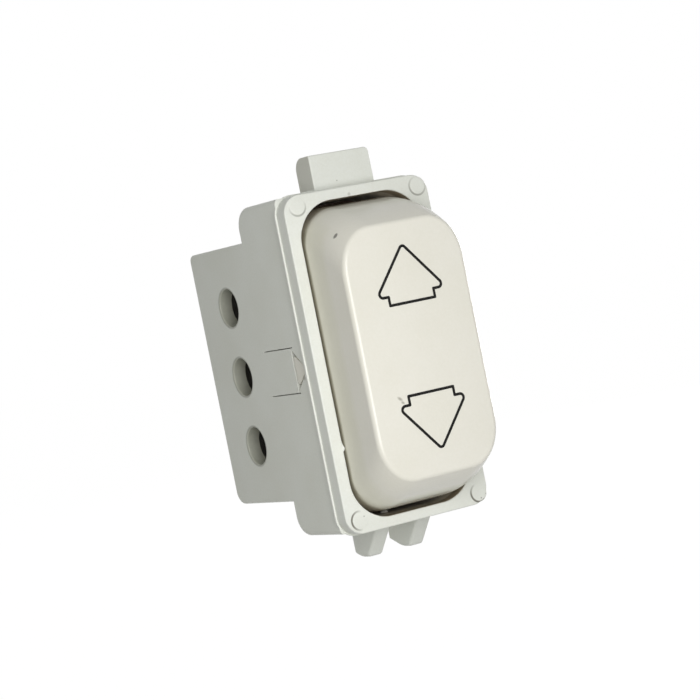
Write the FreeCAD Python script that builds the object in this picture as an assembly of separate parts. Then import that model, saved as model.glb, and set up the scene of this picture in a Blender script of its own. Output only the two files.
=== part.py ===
import FreeCAD, Part
import math
import os

# Roller shutter switch module: a rocker with up and down arrows in a clip-in housing.
# X runs across the module, -Y is the front that faces the room, +Z is up.
# The origin is the middle of the flange's rear plane, where the module seats on its yoke.
# All lengths are in millimetres and all angles in degrees.

# Rim, flange and opening
rim_width = 25.0
rim_thickness = 0.35
rim_step = 0.25
rim_side_ledge = 0.35
rim_top_ledge = 0.25
rim_bottom_ledge = 0.55
flange_thickness = 2.8
flange_corner_radius = 3.0
flange_edge_round = 0.2
frame_side = 2.15
frame_end = 1.8
opening_edge_round = 0.15
opening_corner_radius = 5.9

# Housing behind the flange, a wide front block and a lower rear block
top_step = 4.95
front_block_edge_round = 0.8
front_block_top_round = 3.2
front_block_bottom_round = 3.0
rear_block_edge_round = 0.5
rear_block_top_round = 1.0
rear_block_bottom_round = 2.0
rear_wall = 1.5
rear_side_wall = 2.1
step_wall = 1.6
cavity_corner_radius = 1.0

# Mounting tab on top and the two prongs below
tab_width = 10.2
tab_thickness = 4.35
tab_rise = 5.1
tab_front = -0.2
tab_rear_round = 2.0
tab_corner_round = 0.8
tab_edge_round = 0.2
tab_embed = 1.0
prong_length = 4.85
prong_inner = 2.3
prong_outer = 4.85
prong_front = 1.3
prong_tip_front = 6.0
prong_tip_depth = 1.55
prong_rear = 11.2
prong_heel_drop = 3.5
prong_rear_round = 2.2
prong_front_round = 0.5
prong_tip_round = 0.8
prong_embed = 1.0

# Wire entries in both side walls
wire_pitch = 10.6
wire_centre_z = 0.15
wire_hole_radius = 2.85
wire_hole_round = 0.25

# Rocker and its knife-edge pivot
rocker_projection = 12.5
rocker_side_clearance = 0.25
rocker_end_clearance = 0.8
rocker_corner_radius = 5.4
rocker_edge_round = 0.75
rocker_wall = 1.5
rocker_skirt_rear = 2.0
rocker_tilt = 7.0
pivot_y = 0.6
ear_tip_radius = 0.45
ear_half_angle = 33.4
ear_rear = 3.2
ear_outer_gap = 0.05
ear_corner_round = 0.3
ear_lobe_half_height = 3.4
ear_lobe_rear = 3.5
ear_lobe_round = 1.0
pivot_clearance = 0.05
ear_swing_margin = 0.4
ear_rear_clearance = 0.4

# Flexible tongue that lets the rocker's ear snap in
tongue_half_height = 3.35
tongue_root = 12.0
tongue_slot = 0.14
tongue_slot_start = 3.0

# Rocker legs and stiffening web
leg_width = 4.0
leg_height = 5.0
leg_rear = 4.0
web_thickness = 1.5
web_rear = -2.0

# Printed arrows on the crown
arrow_line = 0.4
arrow_ink = 0.04
arrow_centre_z = 0.1
arrow_end_margin = 3.37
arrow_head_height = 7.05
arrow_stem_height = 1.25
arrow_half_width = 5.8
arrow_stem_half_width = 3.78
arrow_apex_round = 0.5
arrow_shoulder_round = 0.55

# Guide deck that closes the front block
deck_thickness = 2.0
deck_clearance = 0.1
spring_seat_depth = 1.0

# Plungers and their return springs
plunger_offset = 10.6
plunger_radius = 2.6
plunger_running_clearance = 0.08
plunger_head_radius = 3.8
plunger_dome_radius = 6.0
plunger_head_thickness = 1.0
plunger_rest_gap = 0.13
plunger_tail = 0.9
spring_wire = 0.5
spring_mean_radius = 3.35
spring_turns = 3
spring_length = 3.413

# Moving bridges and contact tips
bridge_end_margin = 0.55
bridge_height = 3.2
bridge_thickness = 0.7
bridge_deck_gap = 0.15
bridge_corner_round = 0.8
tip_radius = 1.25
tip_thickness = 0.6
tip_stem_radius = 0.7
tip_stem_clearance = 0.02
contact_side_margin = 0.55
contact_rest_margin = 0.03

# Fixed contact strips
strip_thickness = 0.7
strip_half_height = 1.7
strip_seat_gap = 0.03
strip_tail_thickness = 0.8
strip_tail_half_height = 1.4
strap_half_width = 1.6
strap_end = 1.8

# Carrier that holds the terminals
carrier_clearance = 0.1
carrier_wall = 1.3
carrier_front_wall = 1.0
carrier_top_wall = 3.8
carrier_bottom_wall = 3.55
wire_gap = 1.75
pocket_end_wall = 2.2
pocket_clearance = 0.05
tail_slot_clearance = 0.1

# Tunnel terminals, wire clamps and screws
terminal_half_height = 3.6
terminal_front_wall = 1.0
terminal_rear_wall = 2.2
tunnel_half_height = 1.9
wire_room = 3.8
clamp_thickness = 0.9
clamp_side_clearance = 0.1
clamp_end_margin = 1.8
screw_radius = 1.75
screw_running_clearance = 0.05
screw_travel = 2.4
screw_head_radius = 2.8
screw_head_thickness = 1.5
screw_head_margin = 0.15
screw_head_round = 0.3
screw_slot_width = 0.9
screw_slot_depth = 0.8
spigot_radius = 1.0
spigot_clearance = 0.05

# Rear cover
cover_thickness = 1.8
cover_clearance = 0.1
cover_hole_radius = 3.0
lug_half_width = 3.0
lug_length = 1.0
lug_reach = 0.7
lug_inset = 0.4
lug_clearance = 0.1
post_length = 3.1
post_head_gap = 0.3
post_end_margin = 0.4
post_half_height = 2.6

# Stretches by which tools reach past what they cut and pieces reach into what they join,
# and the most by which two equal lengths may differ
overcut = 1.0
join = 0.1
near = 0.01
tolerance = 1e-4

# Depths, worked out from the front to the rear
crown_y = -rocker_projection
plunger_travel = plunger_offset * math.radians(rocker_tilt)
plunger_apex = leg_rear + plunger_rest_gap
dome_height = plunger_dome_radius - math.sqrt(plunger_dome_radius ** 2 - plunger_head_radius ** 2)
head_rear = plunger_apex + dome_height + plunger_head_thickness
deck_front = head_rear + spring_length - spring_seat_depth
ledge_y = deck_front + deck_thickness
front_block_depth = ledge_y + step_wall
bridge_front = ledge_y + plunger_travel + bridge_deck_gap
bridge_rear = bridge_front + bridge_thickness
moving_tip_rear = bridge_rear + tip_thickness
fixed_tip_front = moving_tip_rear + plunger_travel + contact_rest_margin
strip_front = fixed_tip_front + tip_thickness
strip_rear = strip_front + strip_thickness
chamber_rear = strip_rear + strip_seat_gap
terminal_front = chamber_rear + carrier_front_wall
tunnel_front = terminal_front + terminal_front_wall
wire_axis_y = tunnel_front + wire_room / 2
clamp_front = tunnel_front + wire_room
tunnel_rear = clamp_front + clamp_thickness
terminal_rear = tunnel_rear + terminal_rear_wall
head_front = terminal_rear + screw_travel + screw_head_margin
cover_front = terminal_rear + post_length
housing_depth = cover_front + cover_thickness

# Half widths, worked out from the rim inwards and from the plungers outwards
body_half = rim_width / 2 - rim_side_ledge
opening_half = rim_width / 2 - frame_side
rocker_half_width = opening_half - rocker_side_clearance
rear_half = body_half - rear_side_wall
carrier_half = rear_half - carrier_clearance
carrier_rear_half = carrier_half - wire_gap
terminal_half_length = carrier_rear_half - pocket_end_wall
clamp_half_length = terminal_half_length - clamp_end_margin
contact_x = plunger_radius + contact_side_margin + tip_radius
bridge_half_length = contact_x + tip_radius + bridge_end_margin
strip_inner_x = 2 * contact_x - bridge_half_length
strap_inner_x = contact_x - strap_half_width

# Heights, worked out from the wire rows outwards
wire_names = ("up", "common", "down")
wire_rows = (wire_centre_z + wire_pitch, wire_centre_z, wire_centre_z - wire_pitch)
pocket_half_height = terminal_half_height + pocket_clearance
carrier_top = wire_rows[0] + pocket_half_height + carrier_top_wall
carrier_bottom = wire_rows[2] - pocket_half_height - carrier_bottom_wall
rear_top = carrier_top + carrier_clearance
rear_bottom = carrier_bottom - carrier_clearance
rear_block_top = rear_top + rear_wall
rear_block_bottom = rear_wall - rear_bottom
front_block_top = rear_block_top + top_step
rim_height = 2 * (front_block_top + rim_top_ledge)
front_block_bottom = rim_height / 2 - rim_bottom_ledge
opening_half_height = rim_height / 2 - frame_end
rocker_arc_radius = opening_half_height - rocker_end_clearance
crown_half_height = math.sqrt(rocker_arc_radius ** 2 - (crown_y - pivot_y) ** 2)
arrow_apex_z = crown_half_height - arrow_end_margin
arrow_shoulder_z = arrow_apex_z - arrow_head_height
arrow_base_z = arrow_shoulder_z - arrow_stem_height


def vector(x, y, z):
    return FreeCAD.Vector(x, y, z)


def box(x0, x1, y0, y1, z0, z1):
    """Box between two corners."""
    return Part.makeBox(x1 - x0, y1 - y0, z1 - z0, vector(x0, y0, z0))


def cylinder_y(radius, x, z, y0, y1):
    """Cylinder along Y."""
    return Part.makeCylinder(radius, y1 - y0, vector(x, y0, z), vector(0, 1, 0))


def cylinder_x(radius, y, z, x0, x1):
    """Cylinder along X."""
    return Part.makeCylinder(radius, x1 - x0, vector(x0, y, z), vector(1, 0, 0))


def outline(points, place):
    """Closed wire through (u, v, radius) corners; place(u, v) puts each point in space."""
    spots = [FreeCAD.Vector(u, v, 0) for u, v, _ in points]
    count = len(points)
    joins = []
    for i, (_, _, radius) in enumerate(points):
        here = spots[i]
        before = (spots[i - 1] - here).normalize()
        after = (spots[(i + 1) % count] - here).normalize()
        if radius <= 0:
            joins.append((here, None, here))
            continue
        half = before.getAngle(after) / 2
        reach = radius / math.tan(half)
        inward = (before + after).normalize()
        middle = here + inward * (radius / math.sin(half) - radius)
        joins.append((here + before * reach, middle, here + after * reach))
    edges = []
    for i, (start, middle, end) in enumerate(joins):
        if middle is not None:
            arc = Part.Arc(place(start.x, start.y), place(middle.x, middle.y), place(end.x, end.y))
            edges.append(arc.toShape())
        following = joins[(i + 1) % count][0]
        if (following - end).Length > tolerance:
            edges.append(Part.LineSegment(place(end.x, end.y), place(following.x, following.y)).toShape())
    return Part.Wire(edges)


def side_prism(points, x0, x1):
    """Solid of a (y, z, radius) outline carried along X."""
    face = Part.Face(outline(points, lambda u, v: vector(x0, u, v)))
    return face.extrude(vector(x1 - x0, 0, 0))


def front_prism(points, y0, y1):
    """Solid of an (x, z, radius) outline carried along Y."""
    face = Part.Face(outline(points, lambda u, v: vector(u, y0, v)))
    return face.extrude(vector(0, y1 - y0, 0))


def plate(half_width, bottom, top, radius, y0, y1):
    """Rounded rectangular plate square to Y."""
    corners = [(-half_width, bottom, radius), (half_width, bottom, radius),
               (half_width, top, radius), (-half_width, top, radius)]
    return front_prism(corners, y0, y1)


def edges_at_y(shape, y):
    """Edges that lie in the plane at one depth."""
    return [e for e in shape.Edges
            if abs(e.BoundBox.YMin - y) < tolerance and abs(e.BoundBox.YMax - y) < tolerance]


def edges_at_x(shape, x):
    """Edges that lie in the plane at one width."""
    return [e for e in shape.Edges
            if abs(e.BoundBox.XMin - x) < tolerance and abs(e.BoundBox.XMax - x) < tolerance]


def ear_outline(tip_radius, half_angle, rear, corner_round):
    """Triangle whose rounded tip is centred on the pivot axis, as (y, z, radius) corners."""
    angle = math.radians(half_angle)
    vertex = pivot_y - tip_radius / math.sin(angle)
    half = (rear - vertex) * math.tan(angle)
    return [(vertex, 0, tip_radius), (rear, -half, corner_round), (rear, half, corner_round)]


def opening(y0, y1):
    """Space that the rocker and the deck fill."""
    return plate(opening_half, -opening_half_height, opening_half_height, opening_corner_radius, y0, y1)


def flange():
    """Front frame with a thin rim that stands out at its rear edge."""
    rim = plate(rim_width / 2, -rim_height / 2, rim_height / 2, flange_corner_radius, -rim_thickness, 0)
    face = plate(rim_width / 2 - rim_step, -rim_height / 2 + rim_step, rim_height / 2 - rim_step,
                 flange_corner_radius - rim_step, -flange_thickness, 0)
    face = face.makeFillet(flange_edge_round, edges_at_y(face, -flange_thickness))
    body = face.fuse(rim).removeSplitter().cut(opening(-flange_thickness - overcut, overcut))
    mouth = [e for e in edges_at_y(body, -flange_thickness)
             if abs(e.CenterOfMass.x) < opening_half + near
             and abs(e.CenterOfMass.z) < opening_half_height + near]
    return body.makeFillet(opening_edge_round, mouth)


def block(front, rear, top, bottom, top_round, bottom_round, side_round):
    """Block with rounded rear corners in side view and softened edges round both sides."""
    body = side_prism([(front, top, 0), (rear, top, top_round), (rear, -bottom, bottom_round),
                       (front, -bottom, 0)], -body_half, body_half)
    sides = [e for e in edges_at_x(body, -body_half) + edges_at_x(body, body_half)
             if e.BoundBox.YMax > front + near]
    return body.makeFillet(side_round, sides)


def housing_blocks():
    """Front block and the lower, deeper rear block behind it."""
    front = block(-rim_thickness, front_block_depth, front_block_top, front_block_bottom,
                  front_block_top_round, front_block_bottom_round, front_block_edge_round)
    rear = block(0, housing_depth, rear_block_top, rear_block_bottom,
                 rear_block_top_round, rear_block_bottom_round, rear_block_edge_round)
    return front.fuse(rear).removeSplitter()


def tab():
    """Upright tab behind the flange that hooks into the yoke."""
    rear = tab_front + tab_thickness
    root = front_block_top - tab_embed
    top = rim_height / 2 + tab_rise
    body = side_prism([(tab_front, root, 0), (tab_front, top, 0), (rear, top, tab_rear_round),
                       (rear, root, 0)], -tab_width / 2, tab_width / 2)
    body = body.common(front_prism([(-tab_width / 2, root, 0), (tab_width / 2, root, 0),
                                    (tab_width / 2, top, tab_corner_round), (-tab_width / 2, top, 0)],
                                   tab_front - overcut, rear + overcut))
    front_edges = [e for e in edges_at_y(body, tab_front) if e.BoundBox.ZMax > root + tab_embed / 2]
    return body.makeFillet(tab_edge_round, front_edges)


def prongs():
    """Two wedge-shaped fingers below, each with a leaning front and a rounded outer rear corner."""
    root = -front_block_bottom
    tip = root - prong_length
    lean = (prong_tip_front - prong_front) / prong_length * prong_embed
    finger = side_prism([(prong_front - lean, root + prong_embed, 0),
                         (prong_tip_front, tip, prong_tip_round),
                         (prong_tip_front + prong_tip_depth, tip, 0),
                         (prong_rear, root - prong_heel_drop, 0),
                         (prong_rear, root + prong_embed, 0)], prong_inner, prong_outer)
    plan = outline([(prong_inner, prong_front - lean, 0), (prong_outer, prong_front - lean, 0),
                    (prong_outer, prong_rear, prong_rear_round), (prong_inner, prong_rear, 0)],
                   lambda u, v: vector(u, v, tip))
    finger = finger.common(Part.Face(plan).extrude(vector(0, 0, prong_length + prong_embed)))
    front = [e for e in edges_at_x(finger, prong_inner) + edges_at_x(finger, prong_outer)
             if e.BoundBox.YMax < prong_tip_front + prong_tip_depth + near]
    finger = finger.makeFillet(prong_front_round, front)
    return finger.fuse(finger.mirror(vector(0, 0, 0), vector(1, 0, 0)))


def wire_entries():
    """Round holes with softened mouths through both side walls."""
    cuts = []
    for z in wire_rows:
        hole = cylinder_x(wire_hole_radius, wire_axis_y, z, -body_half - overcut, body_half + overcut)
        cuts.append(hole)
        for side in (-1, 1):
            mouth = Part.makeCylinder(wire_hole_radius + wire_hole_round, wire_hole_round,
                                      vector(side * body_half, wire_axis_y, z), vector(-side, 0, 0))
            lip = Part.makeTorus(wire_hole_radius + wire_hole_round, wire_hole_round,
                                 vector(side * (body_half - wire_hole_round), wire_axis_y, z),
                                 vector(1, 0, 0))
            cuts.append(mouth.cut(lip))
    return cuts


def ear_windows():
    """Triangular pivot windows and the slots that free the tongue behind each."""
    window_angle = ear_half_angle + rocker_tilt + ear_swing_margin
    rear = ear_rear + ear_rear_clearance
    shape = ear_outline(ear_tip_radius + pivot_clearance, window_angle, rear, 0)
    cuts = []
    for x0, x1 in ((-body_half - overcut, near - opening_half), (opening_half - near, body_half + overcut)):
        cuts.append(side_prism(shape, x0, x1))
        cuts.append(box(x0, x1, rear - tongue_slot, rear, -tongue_half_height, tongue_half_height))
        for z in (-tongue_half_height, tongue_half_height):
            cuts.append(box(x0, x1, tongue_slot_start, tongue_root,
                            z - tongue_slot / 2, z + tongue_slot / 2))
    return cuts


def lug_windows():
    """Windows above and below that take the rear cover's lugs."""
    y0 = cover_front + lug_inset - lug_clearance
    y1 = cover_front + lug_inset + lug_length + lug_clearance
    half = lug_half_width + lug_clearance
    top = box(-half, half, y0, y1, rear_top - join, rear_block_top + overcut)
    bottom = box(-half, half, y0, y1, -rear_block_bottom - overcut, rear_bottom + join)
    return [top, bottom]


def housing():
    """One moulding: flange, both blocks, tab and prongs, hollowed from the front and the rear."""
    front_cavity = opening(-flange_thickness - overcut, ledge_y)
    rear_cavity = plate(rear_half, rear_bottom, rear_top, cavity_corner_radius,
                        ledge_y - overcut, housing_depth + overcut)
    body = housing_blocks().fuse([tab(), prongs()]).cut([front_cavity, rear_cavity]).fuse(flange())
    body = body.cut(wire_entries() + ear_windows() + lug_windows())
    return body.removeSplitter()


def rocker_block(half_width, arc_radius, front, rear, corner_radius):
    """Block whose two ends are arcs about the pivot axis, with rounded corners along them."""
    front_z = math.sqrt(arc_radius ** 2 - (front - pivot_y) ** 2)
    rear_z = math.sqrt(arc_radius ** 2 - (rear - pivot_y) ** 2)
    x = -half_width
    top_arc = Part.Arc(vector(x, front, front_z), vector(x, pivot_y, arc_radius),
                       vector(x, rear, rear_z))
    bottom_arc = Part.Arc(vector(x, rear, -rear_z), vector(x, pivot_y, -arc_radius),
                          vector(x, front, -front_z))
    wire = Part.Wire([Part.LineSegment(vector(x, front, -front_z), vector(x, front, front_z)).toShape(),
                      top_arc.toShape(),
                      Part.LineSegment(vector(x, rear, rear_z), vector(x, rear, -rear_z)).toShape(),
                      bottom_arc.toShape()])
    block = Part.Face(wire).extrude(vector(2 * half_width, 0, 0))
    arcs = [e for e in block.Edges
            if isinstance(e.Curve, Part.Circle) and abs(e.Curve.Radius - arc_radius) < tolerance]
    return block.makeFillet(corner_radius, arcs)


def rocker():
    """Hollow push rocker with two ears, two legs and a web."""
    outer = rocker_block(rocker_half_width, rocker_arc_radius, crown_y, rocker_skirt_rear,
                         rocker_corner_radius)
    outer = outer.makeFillet(rocker_edge_round, edges_at_y(outer, crown_y))
    inner = rocker_block(rocker_half_width - rocker_wall, rocker_arc_radius - rocker_wall,
                         crown_y + rocker_wall, rocker_skirt_rear + overcut,
                         rocker_corner_radius - rocker_wall)
    shell = outer.cut(inner)
    pieces = []
    ear = ear_outline(ear_tip_radius, ear_half_angle, ear_rear, ear_corner_round)
    lobe = [(rocker_skirt_rear - overcut, -ear_lobe_half_height, 0),
            (ear_lobe_rear, -ear_lobe_half_height, ear_lobe_round),
            (ear_lobe_rear, ear_lobe_half_height, ear_lobe_round),
            (rocker_skirt_rear - overcut, ear_lobe_half_height, 0)]
    inner_half = rocker_half_width - rocker_wall
    outer_half = body_half - ear_outer_gap
    pieces.append(side_prism(lobe, inner_half, rocker_half_width))
    pieces.append(side_prism(lobe, -rocker_half_width, -inner_half))
    pieces.append(side_prism(ear, inner_half, outer_half))
    pieces.append(side_prism(ear, -outer_half, -inner_half))
    crown_inside = crown_y + rocker_wall / 2
    for centre in (-plunger_offset, plunger_offset):
        pieces.append(box(-leg_width / 2, leg_width / 2, crown_inside, leg_rear,
                          centre - leg_height / 2, centre + leg_height / 2))
    pieces.append(box(-web_thickness / 2, web_thickness / 2, crown_inside, web_rear,
                      -plunger_offset, plunger_offset))
    return shell.fuse(pieces).removeSplitter()


def arrow(up):
    """Outline of one arrow head with a short stem, as a thin raised line."""
    sign = 1 if up else -1
    corners = [(0, arrow_apex_z, arrow_apex_round),
               (arrow_half_width, arrow_shoulder_z, arrow_shoulder_round),
               (arrow_stem_half_width, arrow_shoulder_z, 0),
               (arrow_stem_half_width, arrow_base_z, 0),
               (-arrow_stem_half_width, arrow_base_z, 0),
               (-arrow_stem_half_width, arrow_shoulder_z, 0),
               (-arrow_half_width, arrow_shoulder_z, arrow_shoulder_round)]
    wire = outline(corners, lambda u, v: vector(u, crown_y, arrow_centre_z + sign * v))
    outer = Part.Face(wire.makeOffset2D(arrow_line / 2))
    inner = Part.Face(wire.makeOffset2D(-arrow_line / 2))
    return outer.cut(inner).extrude(vector(0, -arrow_ink, 0))


def deck():
    """Plate on the housing's ledge that guides the plungers and seats their springs."""
    body = plate(opening_half - deck_clearance, deck_clearance - opening_half_height,
                 opening_half_height - deck_clearance, opening_corner_radius - deck_clearance,
                 deck_front, ledge_y)
    cuts = []
    for z in (-plunger_offset, plunger_offset):
        cuts.append(cylinder_y(plunger_radius + plunger_running_clearance, 0, z,
                               deck_front - overcut, ledge_y + overcut))
        cuts.append(cylinder_y(spring_mean_radius + spring_wire / 2 + deck_clearance, 0, z,
                               deck_front - overcut, deck_front + spring_seat_depth))
    return body.cut(cuts)


def plunger(z):
    """Round push rod with a domed head and a slot for its contact bridge."""
    centre = plunger_apex + plunger_dome_radius
    dome = Part.makeSphere(plunger_dome_radius, vector(0, centre, z))
    head = cylinder_y(plunger_head_radius, 0, z, plunger_apex, head_rear)
    shank = cylinder_y(plunger_radius, 0, z, head_rear - join, bridge_rear + plunger_tail)
    slot = box(-2 * plunger_radius, 2 * plunger_radius, bridge_front, bridge_rear,
               z - bridge_height / 2, z + bridge_height / 2)
    return dome.common(head).fuse(shank).removeSplitter().cut(slot)


def spring(z):
    """Compression spring from a plunger's head to the deck, of half turns that meet along one line."""
    rise = (spring_length - spring_wire) / (2 * spring_turns)
    pieces = []
    for i in range(2 * spring_turns):
        side = 1 if i % 2 == 0 else -1
        start = vector(side * spring_mean_radius, head_rear + spring_wire / 2 + i * rise, z)
        chord = vector(-2 * side * spring_mean_radius, rise, 0)
        section = Part.Face(Part.Wire(Part.makeCircle(spring_wire / 2, start, vector(0, 0, 1))))
        pieces.append(section.revolve(start + chord / 2, chord.cross(vector(0, 0, side)), 180))
    return pieces[0].fuse(pieces[1:])


def bridge(z):
    """Flat moving contact strip with a hole for each tip."""
    half = bridge_height / 2
    body = front_prism([(-bridge_half_length, z - half, bridge_corner_round),
                        (bridge_half_length, z - half, bridge_corner_round),
                        (bridge_half_length, z + half, bridge_corner_round),
                        (-bridge_half_length, z + half, bridge_corner_round)], bridge_front, bridge_rear)
    holes = [cylinder_y(tip_stem_radius + tip_stem_clearance, x, z,
                        bridge_front - overcut, bridge_rear + overcut)
             for x in (-contact_x, contact_x)]
    return body.cut(holes)


def tip(x, z, face, seat, stem_end):
    """Contact rivet: a disc from face to seat, with a stem on to stem_end."""
    disc = cylinder_y(tip_radius, x, z, min(face, seat), max(face, seat))
    stem = cylinder_y(tip_stem_radius, x, z, min(seat, stem_end), max(seat, stem_end))
    return disc.fuse(stem).removeSplitter()


def line_contact(z, terminal_z):
    """L-shaped strip from an outer terminal to its fixed contact."""
    body = box(-bridge_half_length, -strip_inner_x, strip_front, strip_rear,
               z - strip_half_height, z + strip_half_height)
    tail = box(-strip_inner_x - strip_tail_thickness, -strip_inner_x, strip_rear - join, terminal_front,
               terminal_z - strip_tail_half_height, terminal_z + strip_tail_half_height)
    hole = cylinder_y(tip_stem_radius + tip_stem_clearance, -contact_x, z,
                      strip_front - overcut, strip_rear + overcut)
    return body.fuse(tail).removeSplitter().cut(hole)


def common_strap():
    """Long strip that joins the middle terminal to both common contacts."""
    ends = plunger_offset + strap_end
    body = box(strap_inner_x, contact_x + strap_half_width, strip_front, strip_rear, -ends, ends)
    middle = wire_rows[1]
    tail = box(strap_inner_x, strap_inner_x + strip_tail_thickness, strip_rear - join, terminal_front,
               middle - strip_tail_half_height, middle + strip_tail_half_height)
    holes = [cylinder_y(tip_stem_radius + tip_stem_clearance, contact_x, z,
                        strip_front - overcut, strip_rear + overcut)
             for z in (-plunger_offset, plunger_offset)]
    return body.fuse(tail).removeSplitter().cut(holes)


def carrier():
    """Insulating block: an open contact chamber in front and three terminal pockets behind."""
    corner = cavity_corner_radius
    chamber = plate(carrier_half, carrier_bottom, carrier_top, corner, ledge_y, terminal_front)
    pockets_block = plate(carrier_rear_half, carrier_bottom, carrier_top, corner, ledge_y, cover_front)
    body = chamber.fuse(pockets_block).removeSplitter()
    cuts = [plate(carrier_half - carrier_wall, carrier_bottom + carrier_wall,
                  carrier_top - carrier_wall, corner, ledge_y - overcut, chamber_rear)]
    pocket_half_length = terminal_half_length + pocket_clearance
    for z in wire_rows:
        cuts.append(box(-pocket_half_length, pocket_half_length, terminal_front, cover_front + overcut,
                        z - pocket_half_height, z + pocket_half_height))
        cuts.append(cylinder_x(wire_hole_radius, wire_axis_y, z,
                               -carrier_half - overcut, carrier_half + overcut))
    tail_half = strip_tail_half_height + tail_slot_clearance
    tails = ((-strip_inner_x - strip_tail_thickness, wire_rows[0]),
             (-strip_inner_x - strip_tail_thickness, wire_rows[2]),
             (strap_inner_x, wire_rows[1]))
    for x, z in tails:
        cuts.append(box(x - tail_slot_clearance, x + strip_tail_thickness + tail_slot_clearance,
                        chamber_rear - overcut, terminal_front + overcut, z - tail_half, z + tail_half))
    return body.cut(cuts)


def terminal(z):
    """Brass tunnel terminal: a wire tunnel along X and a threaded hole from the rear."""
    body = box(-terminal_half_length, terminal_half_length, terminal_front, terminal_rear,
               z - terminal_half_height, z + terminal_half_height)
    tunnel = box(-terminal_half_length - overcut, terminal_half_length + overcut, tunnel_front, tunnel_rear,
                 z - tunnel_half_height, z + tunnel_half_height)
    thread = cylinder_y(screw_radius + screw_running_clearance, 0, z,
                        tunnel_rear - overcut, terminal_rear + overcut)
    return body.cut([tunnel, thread])


def clamp(z):
    """Small plate that the screw presses on the wire."""
    half = tunnel_half_height - clamp_side_clearance
    body = box(-clamp_half_length, clamp_half_length, clamp_front, tunnel_rear, z - half, z + half)
    return body.cut(cylinder_y(spigot_radius + spigot_clearance, 0, z,
                               clamp_front - overcut, tunnel_rear + overcut))


def screw(z):
    """Slotted terminal screw with a spigot through the clamp plate."""
    shank = cylinder_y(screw_radius, 0, z, tunnel_rear, head_front + join)
    spigot = cylinder_y(spigot_radius, 0, z, clamp_front, tunnel_rear + join)
    head_rear_y = head_front + screw_head_thickness
    head = cylinder_y(screw_head_radius, 0, z, head_front, head_rear_y)
    head = head.makeFillet(screw_head_round, edges_at_y(head, head_rear_y))
    slot = box(-screw_head_radius - overcut, screw_head_radius + overcut,
               head_rear_y - screw_slot_depth, head_rear_y + overcut,
               z - screw_slot_width / 2, z + screw_slot_width / 2)
    return head.fuse([shank, spigot]).removeSplitter().cut(slot)


def rear_cover():
    """Plate let into the rear opening, with two lugs, screw holes and posts on the terminals."""
    bottom = rear_bottom + cover_clearance
    top = rear_top - cover_clearance
    body = plate(rear_half - cover_clearance, bottom, top, cavity_corner_radius, cover_front, housing_depth)
    y0 = cover_front + lug_inset
    y1 = y0 + lug_length
    pieces = [box(-lug_half_width, lug_half_width, y0, y1, top - join, rear_top + lug_reach),
              box(-lug_half_width, lug_half_width, y0, y1, rear_bottom - lug_reach, bottom + join)]
    post_inner = screw_head_radius + post_head_gap
    post_outer = terminal_half_length - post_end_margin
    for z in wire_rows:
        for x in (-post_outer, post_inner):
            pieces.append(box(x, x + post_outer - post_inner, terminal_rear, cover_front + join,
                              z - post_half_height, z + post_half_height))
    holes = [cylinder_y(cover_hole_radius, 0, z, cover_front - overcut, housing_depth + overcut)
             for z in wire_rows]
    return body.fuse(pieces).removeSplitter().cut(holes)


parts = {
    "housing": housing(),
    "rocker": rocker(),
    "arrow_marks": Part.makeCompound([arrow(True), arrow(False)]),
    "guide_deck": deck(),
    "terminal_carrier": carrier(),
    "rear_cover": rear_cover(),
    "common_strap": common_strap(),
}
fixed_tips = []
for name, z, row in (("up", plunger_offset, wire_rows[0]), ("down", -plunger_offset, wire_rows[2])):
    parts["plunger_" + name] = plunger(z)
    parts["return_spring_" + name] = spring(z)
    parts["contact_bridge_" + name] = bridge(z)
    parts["moving_tips_" + name] = Part.makeCompound(
        [tip(x, z, moving_tip_rear, bridge_rear, bridge_front) for x in (-contact_x, contact_x)])
    parts["line_contact_" + name] = line_contact(z, row)
    fixed_tips += [tip(x, z, fixed_tip_front, strip_front, strip_rear) for x in (-contact_x, contact_x)]
parts["fixed_tips"] = Part.makeCompound(fixed_tips)
for name, z in zip(wire_names, wire_rows):
    parts["terminal_" + name] = terminal(z)
    parts["wire_clamp_" + name] = clamp(z)
    parts["terminal_screw_" + name] = screw(z)

os.makedirs("parts", exist_ok=True)
for node, shape in parts.items():
    print(node, len(shape.Solids), shape.isValid(), round(shape.Volume, 2), shape.BoundBox)
    shape.exportStep("parts/" + node + ".step")
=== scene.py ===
import math
import bpy
import numpy as np
from mathutils import Matrix, Vector


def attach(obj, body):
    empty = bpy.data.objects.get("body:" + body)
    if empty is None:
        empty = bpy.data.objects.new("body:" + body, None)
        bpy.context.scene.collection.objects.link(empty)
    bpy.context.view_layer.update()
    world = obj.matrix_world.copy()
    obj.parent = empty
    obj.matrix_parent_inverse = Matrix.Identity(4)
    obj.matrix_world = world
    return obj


# A roller shutter switch module: a cream rocker with an up and a down arrow in a clip-in housing.
# It stands as in use, front towards -Y and top towards +Z, in metres.

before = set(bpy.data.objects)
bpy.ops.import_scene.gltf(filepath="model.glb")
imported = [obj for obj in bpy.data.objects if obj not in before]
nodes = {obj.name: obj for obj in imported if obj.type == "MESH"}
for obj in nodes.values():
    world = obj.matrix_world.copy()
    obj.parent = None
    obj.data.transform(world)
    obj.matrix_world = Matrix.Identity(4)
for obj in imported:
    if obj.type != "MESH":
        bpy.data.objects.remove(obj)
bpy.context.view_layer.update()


# Camera: a long lens a third of a metre away, to the left of the front and level with the module,
# turned a little about its own axis so that the module leans to the right in the picture.
lens_mm = 126.353
sensor_mm = 36.0
camera_place_mm = (-181.202, -309.592, 10.575)
camera_right = (0.8490111, -0.49053274, -0.19636138)
camera_up = (0.18314855, -0.07538031, 0.98019101)
camera_back = (-0.49561757, -0.86815634, 0.02584164)

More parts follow.
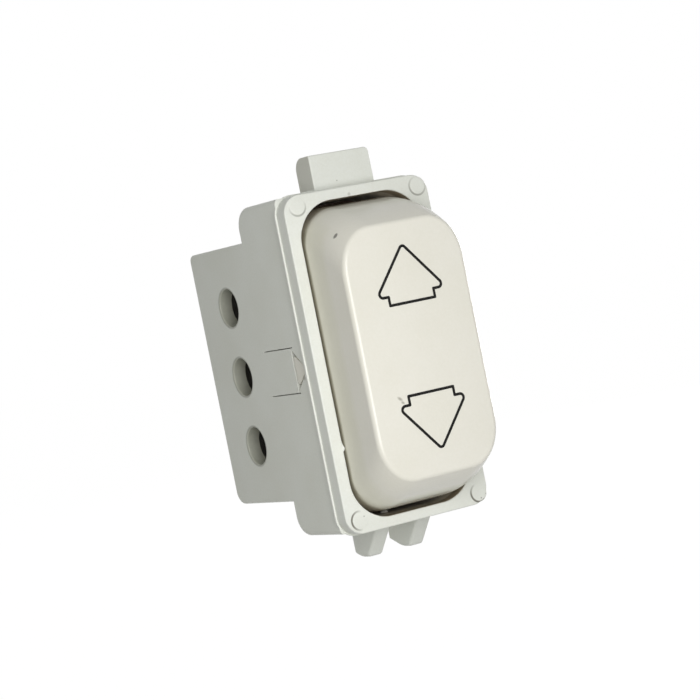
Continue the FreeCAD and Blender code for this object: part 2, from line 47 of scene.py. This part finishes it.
camera_data = bpy.data.cameras.new("camera")
camera_data.lens = lens_mm
camera_data.sensor_width = sensor_mm
camera_data.clip_start = 0.01
camera_data.clip_end = 20.0
camera = bpy.data.objects.new("camera", camera_data)
bpy.context.collection.objects.link(camera)
camera_axes = Matrix((camera_right, camera_up, camera_back)).transposed().to_4x4()
camera.matrix_world = Matrix.Translation(Vector(camera_place_mm) / 1000) @ camera_axes
bpy.context.scene.camera = camera
bpy.context.scene.view_settings.view_transform = "Standard"


# Studio: weak even light from all round, a soft lamp close by in front and to the left, a second
# lamp behind on the right for the sides that the picture doesn't show, and a white floor below.
def add_node(tree, kind, values={}, links={}, **properties):
    """Add a node, set its properties and its sockets' values, and link its sockets to outputs."""
    node = tree.nodes.new(kind)
    for name, value in properties.items():
        setattr(node, name, value)
    for socket, value in values.items():
        node.inputs[socket].default_value = value
    for socket, source in links.items():
        tree.links.new(source, node.inputs[socket])
    return node


def colour(code):
    """Linear colour with full alpha from an sRGB hex value, by the sRGB transfer curve."""
    channels = np.array([int(code[i:i + 2], 16) for i in (1, 3, 5)]) / 255
    linear = np.where(channels <= 0.04045, channels / 12.92, ((channels + 0.055) / 1.055) ** 2.4)
    return (*linear.tolist(), 1.0)


sky_strength = 0.29
sky_colour = "#FDFFF8"
backdrop_strength = 1.0
lamps = (
    # name, direction to it (azimuth from the front, elevation), distance, size, share of full light
    ("key", -20.5, 3.0, 0.14, 0.10, 0.675),
    ("back", 125.0, -3.0, 0.7, 0.4, 0.5),
)

world = bpy.data.worlds.new("studio")
bpy.context.scene.world = world
world.use_nodes = True
tree = world.node_tree
tree.nodes.clear()
rays = add_node(tree, "ShaderNodeLightPath")
seen = add_node(tree, "ShaderNodeMath", operation="MAXIMUM",
                links={0: rays.outputs["Is Camera Ray"], 1: rays.outputs["Is Glossy Ray"]})
seen = add_node(tree, "ShaderNodeMath", operation="MAXIMUM",
                links={0: seen.outputs[0], 1: rays.outputs["Is Transmission Ray"]})
light = add_node(tree, "ShaderNodeBackground", {"Strength": sky_strength, "Color": colour(sky_colour)})
backdrop = add_node(tree, "ShaderNodeBackground",
                    {"Strength": backdrop_strength, "Color": colour("#FFFFFF")})
mixed = add_node(tree, "ShaderNodeMixShader",
                 links={0: seen.outputs[0], 1: light.outputs[0], 2: backdrop.outputs[0]})
add_node(tree, "ShaderNodeOutputWorld", links={"Surface": mixed.outputs[0]})

for name, azimuth, elevation, distance, size, share in lamps:
    lamp_data = bpy.data.lights.new(name, "AREA")
    lamp_data.shape = "DISK"
    lamp_data.size = size
    lamp_data.energy = share * math.pi ** 2 * distance ** 2
    lamp = bpy.data.objects.new(name, lamp_data)
    bpy.context.collection.objects.link(lamp)
    lamp.visible_camera = False
    turn, lift = math.radians(azimuth), math.radians(elevation)
    towards = Vector((math.sin(turn) * math.cos(lift), -math.cos(turn) * math.cos(lift), math.sin(lift)))
    facing = towards.to_track_quat("Z", "Y").to_matrix().to_4x4()
    lamp.matrix_world = Matrix.Translation(towards * distance) @ facing

floor_drop = 0.062
floor_half = 3.0
floor_glow = 0.93
glow_strength = 1.06

floor_mesh = bpy.data.meshes.new("floor")
corners = np.array([(-1, -1), (1, -1), (1, 1), (-1, 1)]) * floor_half
floor_mesh.from_pydata([(x, y, -floor_drop) for x, y in corners.tolist()], [], [(0, 1, 2, 3)])
floor = bpy.data.objects.new("floor", floor_mesh)
bpy.context.collection.objects.link(floor)
floor_paint = bpy.data.materials.new("white_card")
floor_paint.use_nodes = True
tree = floor_paint.node_tree
tree.nodes.clear()
rays = add_node(tree, "ShaderNodeLightPath")
seen = add_node(tree, "ShaderNodeMath", operation="MAXIMUM",
                links={0: rays.outputs["Is Camera Ray"], 1: rays.outputs["Is Glossy Ray"]})
seen = add_node(tree, "ShaderNodeMath", {1: floor_glow}, {0: seen.outputs[0]}, operation="MULTIPLY")
card = add_node(tree, "ShaderNodeBsdfDiffuse", {"Color": colour("#D6D6D4")})
glow = add_node(tree, "ShaderNodeEmission", {"Color": colour("#FFFFFF"), "Strength": glow_strength})
lit = add_node(tree, "ShaderNodeMixShader",
               links={0: seen.outputs[0], 1: card.outputs[0], 2: glow.outputs[0]})
clear = add_node(tree, "ShaderNodeBsdfTransparent")
side = add_node(tree, "ShaderNodeNewGeometry")
shown = add_node(tree, "ShaderNodeMixShader",
                 links={0: side.outputs["Backfacing"], 1: lit.outputs[0], 2: clear.outputs[0]})
add_node(tree, "ShaderNodeOutputMaterial", links={"Surface": shown.outputs[0]})
floor_mesh.materials.append(floor_paint)


# Housing: one injection moulding of white polycarbonate. It is the flange with its thin rim, both blocks,
# the tab and the two prongs. Its mould was spark-eroded, which leaves a fine even grain and a satin light,
# and age has yellowed it in faint broad patches.
grain_share = 0.35
grain_strength = 0.5
gloss_swing = 0.04
speck_edge = 0.07
speck_core = 0.03
speckless_share = 0.86
speck_colour = "#8F8A7C"
speck_strength = 0.6


def moulded(name, base, aged, roughness, grain_mm, grain_depth_mm, patch_mm, speck_mm):
    """Moulded plastic: two near tones in broad patches, a fine eroded grain and a few tiny specks.

    It returns the material with the parts that the masks of dirt and painted shade go on to change."""
    material = bpy.data.materials.new(name)
    material.use_nodes = True
    tree = material.node_tree
    tree.nodes.clear()
    place = add_node(tree, "ShaderNodeTexCoord").outputs["Object"]
    patches = add_node(tree, "ShaderNodeTexNoise",
                       {"Scale": 1000 / patch_mm, "Detail": 2.0, "Roughness": 0.5}, {"Vector": place})
    grain = add_node(tree, "ShaderNodeTexNoise", {"Scale": 1000 / grain_mm, "Detail": 1.0},
                     {"Vector": place})
    blend = add_node(tree, "ShaderNodeMix", {0: grain_share},
                     {2: patches.outputs["Fac"], 3: grain.outputs["Fac"]}, data_type="FLOAT")
    share = add_node(tree, "ShaderNodeMapRange",
                     {"From Min": 0.2, "From Max": 0.8, "To Min": 0.0, "To Max": 1.0},
                     {"Value": blend.outputs[0]})
    tone = add_node(tree, "ShaderNodeMix", {6: colour(base), 7: colour(aged)},
                    {0: share.outputs[0]}, data_type="RGBA")
    relief = add_node(tree, "ShaderNodeBump",
                      {"Strength": grain_strength, "Distance": grain_depth_mm / 1000},
                      {"Height": grain.outputs["Fac"]})
    gloss = add_node(tree, "ShaderNodeMapRange",
                     {"From Min": 0.1, "From Max": 0.9,
                      "To Min": roughness - gloss_swing, "To Max": roughness + gloss_swing},
                     {"Value": patches.outputs["Fac"]})
    skin = add_node(tree, "ShaderNodeBsdfPrincipled", {"IOR": 1.5},
                    {"Roughness": gloss.outputs[0], "Normal": relief.outputs[0]})
    add_node(tree, "ShaderNodeOutputMaterial", links={"Surface": skin.outputs[0]})
    cells = add_node(tree, "ShaderNodeTexVoronoi", {"Scale": 1000 / speck_mm}, {"Vector": place})
    dots = add_node(tree, "ShaderNodeMapRange",
                    {"From Min": speck_edge, "From Max": speck_core, "To Min": 0.0, "To Max": 1.0},
                    {"Value": cells.outputs["Distance"]})
    chosen = add_node(tree, "ShaderNodeMath", {1: speckless_share}, {0: cells.outputs["Color"]},
                      operation="GREATER_THAN")
    specks = add_node(tree, "ShaderNodeMath", links={0: dots.outputs[0], 1: chosen.outputs[0]},
                      operation="MULTIPLY")
    finish = {"material": material, "tree": tree, "place": place, "skin": skin, "tone": tone.outputs[2]}
    dirt_and_shade(finish, specks.outputs[0], speck_colour, speck_strength)
    return finish


def dirt_and_shade(finish, mask, code, strength):
    """Lay a colour over the finish where the mask is 1."""
    tree = finish["tree"]
    amount = add_node(tree, "ShaderNodeMath", {1: strength}, {0: mask}, operation="MULTIPLY")
    mixed = add_node(tree, "ShaderNodeMix", {7: colour(code)},
                     {0: amount.outputs[0], 6: finish["tone"]}, data_type="RGBA")
    finish["tone"] = mixed.outputs[2]
    tree.links.new(finish["tone"], finish["skin"].inputs["Base Color"])


def in_box(finish, low_mm, high_mm, blur_mm):
    """Mask that is 1 inside a box and fades out over a soft margin, by the nearest side's distance."""
    tree = finish["tree"]
    low, high = np.array(low_mm) / 1000, np.array(high_mm) / 1000
    middle, half = ((low + high) / 2).tolist(), ((high - low) / 2).tolist()
    away = add_node(tree, "ShaderNodeVectorMath", {1: middle}, {0: finish["place"]}, operation="SUBTRACT")
    away = add_node(tree, "ShaderNodeVectorMath", links={0: away.outputs[0]}, operation="ABSOLUTE")
    depth = add_node(tree, "ShaderNodeVectorMath", {0: half}, {1: away.outputs[0]}, operation="SUBTRACT")
    sides = add_node(tree, "ShaderNodeSeparateXYZ", links={0: depth.outputs[0]})
    least = add_node(tree, "ShaderNodeMath", links={0: sides.outputs[0], 1: sides.outputs[1]},
                     operation="MINIMUM")
    least = add_node(tree, "ShaderNodeMath", links={0: least.outputs[0], 1: sides.outputs[2]},
                     operation="MINIMUM")
    mask = add_node(tree, "ShaderNodeMapRange",
                    {"From Min": 0.0, "From Max": blur_mm / 1000, "To Min": 0.0, "To Max": 1.0},
                    {"Value": least.outputs[0]})
    return mask.outputs[0]


def in_spot(finish, centre_mm, radii_mm, turn_deg, core):
    """Mask of an ellipsoid turned about Y: 1 within the core share of its radii, 0 outside them."""
    tree = finish["tree"]
    place = add_node(tree, "ShaderNodeMapping",
                     {"Location": [v / 1000 for v in centre_mm],
                      "Rotation": (0.0, math.radians(turn_deg), 0.0),
                      "Scale": [v / 1000 for v in radii_mm]},
                     {"Vector": finish["place"]}, vector_type="TEXTURE")
    reach = add_node(tree, "ShaderNodeVectorMath", links={0: place.outputs[0]}, operation="LENGTH")
    mask = add_node(tree, "ShaderNodeMapRange",
                    {"From Min": 1.0, "From Max": core, "To Min": 0.0, "To Max": 1.0},
                    {"Value": reach.outputs["Value"]})
    return mask.outputs[0]


flange_front_box_mm = ((-13.0, -3.2, -25.5), (13.0, -2.2, 25.5))
flange_front_blur_mm = 0.1
arc_core_share = 1 / 3
arc_full_from = 0.9


def in_arc(finish, centre_mm, radius_mm, width_mm, towards_deg, spread):
    """Mask of a thin ring on the flange's front, strongest towards one side and gone by spread."""
    tree = finish["tree"]
    away = add_node(tree, "ShaderNodeVectorMath", {1: (centre_mm[0] / 1000, 0.0, centre_mm[1] / 1000)},
                    {0: finish["place"]}, operation="SUBTRACT")
    flat = add_node(tree, "ShaderNodeVectorMath", {1: (1.0, 0.0, 1.0)}, {0: away.outputs[0]},
                    operation="MULTIPLY")
    reach = add_node(tree, "ShaderNodeVectorMath", links={0: flat.outputs[0]}, operation="LENGTH")
    off = add_node(tree, "ShaderNodeMath", {1: radius_mm / 1000}, {0: reach.outputs["Value"]},
                   operation="SUBTRACT")
    off = add_node(tree, "ShaderNodeMath", links={0: off.outputs[0]}, operation="ABSOLUTE")
    width = width_mm / 1000
    ring = add_node(tree, "ShaderNodeMapRange",
                    {"From Min": width, "From Max": width * arc_core_share, "To Min": 0.0, "To Max": 1.0},
                    {"Value": off.outputs[0]})
    turn = math.radians(towards_deg)
    side = add_node(tree, "ShaderNodeVectorMath", {1: (math.cos(turn), 0.0, math.sin(turn))},
                    {0: away.outputs[0]}, operation="DOT_PRODUCT")
    facing = add_node(tree, "ShaderNodeMapRange",
                      {"From Min": spread * radius_mm / 1000, "From Max": arc_full_from * radius_mm / 1000,
                       "To Min": 0.0, "To Max": 1.0}, {"Value": side.outputs["Value"]})
    mask = add_node(tree, "ShaderNodeMath", links={0: ring.outputs[0], 1: facing.outputs[0]},
                    operation="MULTIPLY")
    front = in_box(finish, *flange_front_box_mm, flange_front_blur_mm)
    mask = add_node(tree, "ShaderNodeMath", links={0: mask.outputs[0], 1: front}, operation="MULTIPLY")
    return mask.outputs[0]


def dirt_and_shade_boxes(finish, rows):
    """Lay a colour over each box: low and high corner in mm, soft margin in mm, colour, strength."""
    for low_mm, high_mm, blur_mm, code, strength in rows:
        dirt_and_shade(finish, in_box(finish, low_mm, high_mm, blur_mm), code, strength)


def dirt_and_shade_spots(finish, core, code, rows):
    """Lay one colour over each ellipsoid: centre and radii in mm, turn in degrees, strength."""
    for centre_mm, radii_mm, turn_deg, strength in rows:
        dirt_and_shade(finish, in_spot(finish, centre_mm, radii_mm, turn_deg, core), code, strength)


def dress(names, material):
    """Give CAD nodes one finish."""
    for name in names:
        mesh = nodes[name].data
        mesh.materials.clear()
        mesh.materials.append(material)


white_polycarbonate = moulded("white_polycarbonate", "#EFF1EC", "#E4E5DC", 0.42, 0.32, 0.03, 9.0, 3.4)

# Dust and painted shade make the mouth of the rocker's opening brown, the walls further in stay paler, and
# painted shade darkens the tab's left side.
dirt_and_shade_boxes(white_polycarbonate, (
    ((-10.5, -2.66, -23.35), (10.5, 11.5, 23.35), 0.15, "#9A886C", 0.9),
    ((-11.2, -0.8, -24.1), (11.2, 11.9, 24.1), 0.65, "#EDE5D3", 0.95),
    ((-5.3, -0.1, 25.2), (-4.9, 4.4, 31.0), 0.1, "#B8B4A6", 0.45),
))

# The wire entries: painted shade, darkest round their softened lips and greyer inside, right through both
# walls.
entry_rows_mm = (10.75, 0.15, -10.45)
entry_y_mm = 20.2
through_mm = 1000.0
lip_radii_mm = (through_mm, 3.3, 3.3)
bore_radii_mm = (through_mm, 3.02, 3.02)
for row_mm in entry_rows_mm:
    axis_mm = (0.0, entry_y_mm, row_mm)
    dirt_and_shade_spots(white_polycarbonate, 0.9, "#8F9084", ((axis_mm, lip_radii_mm, 0.0, 0.9),))
    dirt_and_shade_spots(white_polycarbonate, 0.96, "#B4B5A9", ((axis_mm, bore_radii_mm, 0.0, 1.0),))

# Painted shade at the edges of the window round the rocker's ear, and specks on the flange's front and on
# the tab.
dirt_and_shade_spots(white_polycarbonate, 0.3, "#7C7562", (
    ((-12.0, 1.15, -1.25), (0.6, 0.45, 0.45), 0.0, 0.6),
    ((-12.0, 0.5, -0.65), (0.6, 0.3, 0.3), 0.0, 0.6),
    ((-12.0, 2.9, 2.4), (0.6, 0.3, 0.3), 0.0, 0.6),
))
dirt_and_shade_spots(white_polycarbonate, 0.4, "#5F5A50", (
    ((-9.2, -2.8, -22.3), (0.14, 0.4, 0.14), 0.0, 0.6),
    ((10.85, -2.8, -23.95), (0.16, 0.4, 0.16), 0.0, 0.6),
    ((11.8, -2.8, -23.5), (0.12, 0.4, 0.12), 0.0, 0.6),
    ((11.2, -2.8, -24.2), (0.12, 0.4, 0.12), 0.0, 0.6),
    ((-1.12, -2.8, 23.53), (0.35, 0.4, 0.35), 0.0, 0.3),
    ((-1.15, -0.2, 25.9), (0.12, 0.4, 0.12), 0.0, 0.6),
))

# Painted shade in the low step round each ejector mark, an arc on one side: the mark's corner, its centre
# (x, z), the side on which the shade is strongest, how far round it goes, how dark it is.
ejector_marks = (
    ("upper_left", (-9.97, 23.08), -80.0, -0.3, 0.55),
    ("upper_right", (10.52, 22.99), -120.0, -0.9, 0.65),
    ("lower_left", (-9.97, -22.77), 175.0, -0.3, 1.0),
    ("lower_right", (10.62, -23.1), -140.0, -0.4, 1.0),
)
mark_radius_mm = 1.35
mark_shade_mm = 0.2
# Each mark gets its arc of painted shade.
for corner, centre, towards, spread, strength in ejector_marks:
    ring = in_arc(white_polycarbonate, centre, mark_radius_mm, mark_shade_mm, towards, spread)
    dirt_and_shade(white_polycarbonate, ring, "#6F6C62", strength)
dress(["housing", "rear_cover"], white_polycarbonate["material"])

# Rocker: a cream moulding of polycarbonate from a polished mould, so it has a brighter, tighter light
# than the housing. Painted shade makes it darker and browner down in the gap round it, and yellower on its
# sides.
cream_polycarbonate = moulded("cream_polycarbonate", "#EEEBE2", "#E7E4D8", 0.21, 0.4, 0.02, 8.0, 5.0)
# Painted shade: browner down in the gap round the rocker, darkest along its left side, and a yellow-green
# tint of shade on its left and lower sides.
dirt_and_shade_boxes(cream_polycarbonate, (
    ((-13.0, -3.5, -25.5), (13.0, 1.0, 25.5), 0.9, "#8E8470", 0.75),
    ((-13.0, -3.3, -23.5), (-9.3, 1.0, 23.5), 0.4, "#5F5545", 0.6),
    ((-13.0, -8.5, -25.5), (-8.0, 1.0, 25.5), 1.5, "#DCDAC0", 0.3),
    ((-13.0, -8.5, -25.5), (13.0, 1.0, -19.0), 1.5, "#DCDAC0", 0.3),
))

# Its two ears keep a clean cream, free of that painted shade, but for painted shade at the left one's
# edges, seen in the housing's window.
dirt_and_shade_boxes(cream_polycarbonate, (
    ((-12.5, -0.2, -4.0), (-10.38, 4.0, 4.0), 0.05, "#ECE9DD", 0.9),
    ((10.38, -0.2, -4.0), (12.5, 4.0, 4.0), 0.05, "#ECE9DD", 0.9),
))
dirt_and_shade_spots(cream_polycarbonate, 0.3, "#7C7562", (
    ((-12.0, 1.15, -1.25), (0.6, 0.5, 0.5), 0.0, 0.6),
    ((-12.0, 0.5, -0.65), (0.6, 0.35, 0.35), 0.0, 0.6),
))

# A smudge at the lower arrow's left end, and a short dark nick on the upper left side.
dirt_and_shade_spots(cream_polycarbonate, 0.2, "#8B8678", (
    ((-5.2, -12.5, -6.5), (0.62, 0.4, 0.3), 40.0, 0.7),
    ((-4.85, -12.5, -7.1), (0.4, 0.4, 0.25), 30.0, 0.7),
))
dirt_and_shade_spots(cream_polycarbonate, 0.6, "#55514A", (
    ((-8.73, -10.2, 17.78), (0.55, 2.0, 0.13), -49.0, 0.8),
))
dress(["rocker"], cream_polycarbonate["material"])

# Arrows: two thin outlines of black pad-printing ink on the rocker's crown. The ink dries matt, so it
# stays black where the crown shines.
print_ink = moulded("pad_print_ink", "#0C0B0A", "#141311", 0.6, 0.2, 0.01, 2.0, 3.0)
print_ink["skin"].inputs["Specular IOR Level"].default_value = 0.2
dress(["arrow_marks"], print_ink["material"])

# Guide deck: a plate cut from brown paper laminate, seen deep in the gaps round the rocker. Resin-soaked
# paper is uneven in its brown and has a satin face.
paper_laminate = moulded("brown_paper_laminate", "#5A4733", "#45372A", 0.45, 0.25, 0.02, 3.0, 4.0)
dress(["guide_deck"], paper_laminate["material"])

# Plungers: two mouldings of natural nylon, which slides well on the deck's plain holes. It is milky
# white and a little waxy, with a dull skin.
inner_nylon = moulded("natural_nylon", "#DAD8D0", "#D0CDC2", 0.5, 0.3, 0.02, 4.0, 4.0)
dress(["plunger_up", "plunger_down"], inner_nylon["material"])

# Terminal carrier: a block moulded in a heat-resistant grey resin round the pockets for the terminals.
# Its mineral filler makes it dull and a touch uneven.
carrier_resin = moulded("grey_carrier_resin", "#86857F", "#7A7972", 0.5, 0.3, 0.02, 4.0, 4.0)
dress(["terminal_carrier"], carrier_resin["material"])


# Current paths: stamped brass with the fine scratches of the press, brighter silver tips, and screws and
# clamps of steel with a pale bluish zinc plate. The springs are drawn from darker steel wire.
scratch_stretch = 0.12
metal_gloss_swing = 0.08


def metal(name, base, aged, roughness, scratch_mm):
    """Worked metal: two near tones and fine scratches of one width."""
    material = bpy.data.materials.new(name)
    material.use_nodes = True
    tree = material.node_tree
    tree.nodes.clear()
    place = add_node(tree, "ShaderNodeTexCoord")
    stretch = add_node(tree, "ShaderNodeMapping", {"Scale": (1.0, scratch_stretch, 1.0)},
                       {"Vector": place.outputs["Object"]})
    scratches = add_node(tree, "ShaderNodeTexNoise", {"Scale": 1000 / scratch_mm, "Detail": 2.0},
                         {"Vector": stretch.outputs[0]})
    tone = add_node(tree, "ShaderNodeMix", {6: colour(base), 7: colour(aged)},
                    {0: scratches.outputs["Fac"]}, data_type="RGBA")
    gloss = add_node(tree, "ShaderNodeMapRange",
                     {"From Min": 0.3, "From Max": 0.7,
                      "To Min": roughness - metal_gloss_swing, "To Max": roughness + metal_gloss_swing},
                     {"Value": scratches.outputs["Fac"]})
    skin = add_node(tree, "ShaderNodeBsdfPrincipled", {"Metallic": 1.0},
                    {"Base Color": tone.outputs[2], "Roughness": gloss.outputs[0]})
    add_node(tree, "ShaderNodeOutputMaterial", links={"Surface": skin.outputs[0]})
    return material


row_names = ("up", "common", "down")
brass = metal("stamped_brass", "#E1C16E", "#C9A553", 0.32, 0.5)
dress(["common_strap", "line_contact_up", "line_contact_down", "contact_bridge_up", "contact_bridge_down"],
      brass)
dress(["terminal_" + row for row in row_names], brass)
silver = metal("contact_silver", "#F2EFE9", "#D8D4CA", 0.25, 0.4)
dress(["fixed_tips", "moving_tips_up", "moving_tips_down"], silver)
zinc_steel = metal("zinc_plated_steel", "#C9CACB", "#B2B4B3", 0.35, 0.4)
dress([part + row for row in row_names for part in ("wire_clamp_", "terminal_screw_")], zinc_steel)
spring_steel = metal("spring_steel", "#B9B8B4", "#9B9A95", 0.3, 0.3)
dress(["return_spring_up", "return_spring_down"], spring_steel)


# Ejector marks: four round marks at the flange's corners, where the mould's pins pushed it out. They are
# part of the housing's moulding and stand proud of its front by the width of a hair.
mark_rise_mm = 0.05
mark_sink_mm = 0.01
flange_front_mm = -2.8


def new_piece(name, points_mm, faces, smooth):
    """Object at the origin from points in mm and faces, with smooth or flat shading."""
    mesh = bpy.data.meshes.new(name)
    mesh.from_pydata((points_mm / 1000).tolist(), [], faces)
    mesh.polygons.foreach_set("use_smooth", np.full(len(mesh.polygons), smooth))
    mesh.update()
    piece = bpy.data.objects.new(name, mesh)
    bpy.context.collection.objects.link(piece)
    return piece


def disc(name, centre, radius, rise, front, rings=10, steps=48):
    """Low disc square to Y: its height is rise * (1 - r^8) over the radius, its rim sunk in a little."""
    r = np.linspace(0, 1, rings + 1)[1:]
    turn = np.linspace(0, 2 * math.pi, steps, endpoint=False)
    radii, turns = np.meshgrid(r, turn, indexing="ij")
    x = centre[0] + radius * radii * np.cos(turns)
    z = centre[1] + radius * radii * np.sin(turns)
    y = front - rise * (1 - radii ** 8) + mark_sink_mm * (radii >= 1)
    grid = np.stack([x, y, z], axis=-1).reshape(-1, 3)
    points = np.vstack([[(centre[0], front - rise, centre[1])], grid])
    i = np.arange(rings - 1)[:, None] * steps + 1
    j = np.arange(steps)
    k = (j + 1) % steps
    quads = np.stack([i + j, i + steps + j, i + steps + k, i + k], axis=-1).reshape(-1, 4)
    fans = np.stack([np.zeros(steps, int), 1 + j, 1 + k], axis=-1)
    return new_piece(name, points, fans.tolist() + quads.tolist(), True)


for corner, centre, towards, spread, strength in ejector_marks:
    mark = disc("ejector_mark_" + corner, centre, mark_radius_mm, mark_rise_mm, flange_front_mm)
    mark.data.materials.append(white_polycarbonate["material"])
    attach(mark, "module")


# Burr: a small tooth of flash left on the opening's left edge, beside the rocker. It is of the
# housing's own plastic, as thin as paper, and grows out of the edge where the mould's halves met.
burr_root_mm = 0.12
burr_bury_mm = 0.02
burr_lean_mm = 0.1
burr_lift_mm = 0.18
burr_depth_mm = 0.5


def burr_fin(name, edge, z_top, z_bottom, peak, reach, front, steps=24):
    """Fin on an edge along Z: its reach rises as the square of the way to its peak, then falls to 0."""
    way = np.linspace(0, 1, steps + 1)
    rise = np.where(way < peak, (way / peak) ** 2, 1 - ((way - peak) / (1 - peak)) ** 2)
    z = z_top + (z_bottom - z_top) * way
    still = np.zeros_like(way)
    root_left = np.stack([edge - burr_root_mm + still, front + burr_bury_mm + still, z], axis=-1)
    lip = np.stack([edge + burr_bury_mm + reach * rise, front + burr_lean_mm - burr_lift_mm * rise, z],
                   axis=-1)
    root_right = np.stack([edge - burr_bury_mm + still, front + burr_depth_mm + still, z], axis=-1)
    points = np.stack([root_left, lip, root_right], axis=1).reshape(-1, 3)
    i = np.arange(steps)[:, None] * 3
    j = np.arange(3)
    k = (j + 1) % 3
    quads = np.stack([i + j, i + k, i + 3 + k, i + 3 + j], axis=-1).reshape(-1, 4)
    ends = [[2, 1, 0], [steps * 3, steps * 3 + 1, steps * 3 + 2]]
    return new_piece(name, points, quads.tolist() + ends, False)


burr = burr_fin("burr", -10.35, -10.9, -12.6, 0.68, 0.2, flange_front_mm)
burr.data.materials.append(white_polycarbonate["material"])
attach(burr, "module")


# Crumb: a bit of pale swarf that lies on the opening's lower wall, in the gap below the rocker. It is
# broken plastic, so it is a dull uneven lump.
crumb_swell = 0.12
crumb_waves = 3


def crumb_lump(name, centre, radii, rings=12, steps=24):
    """Uneven lump: an ellipsoid whose radii swell and shrink with a few waves round it."""
    lift = np.linspace(-math.pi / 2, math.pi / 2, rings + 1)[1:-1]
    turn = np.linspace(0, 2 * math.pi, steps, endpoint=False)
    lifts, turns = np.meshgrid(lift, turn, indexing="ij")
    swell = 1 + crumb_swell * np.sin(crumb_waves * turns + 2 * lifts) * np.cos(lifts)
    grid = np.stack([np.cos(lifts) * np.cos(turns), np.cos(lifts) * np.sin(turns), np.sin(lifts)],
                    axis=-1)
    grid = (grid * swell[..., None]).reshape(-1, 3)
    points = np.vstack([[(0, 0, -1)], grid, [(0, 0, 1)]]) * np.array(radii) + np.array(centre)
    i = np.arange(rings - 2)[:, None] * steps + 1
    j = np.arange(steps)
    k = (j + 1) % steps
    quads = np.stack([i + j, i + k, i + steps + k, i + steps + j], axis=-1).reshape(-1, 4)
    top = (rings - 2) * steps + 1
    south = np.stack([0 * j, 1 + k, 1 + j], axis=-1)
    north = np.stack([top + j, top + k, 0 * j + top + steps], axis=-1)
    return new_piece(name, points, quads.tolist() + south.tolist() + north.tolist(), True)


crumb = crumb_lump("crumb", (-1.9, 3.9, -23.05), (0.55, 0.7, 0.3))
crumb.data.materials.append(inner_nylon["material"])
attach(crumb, "module")
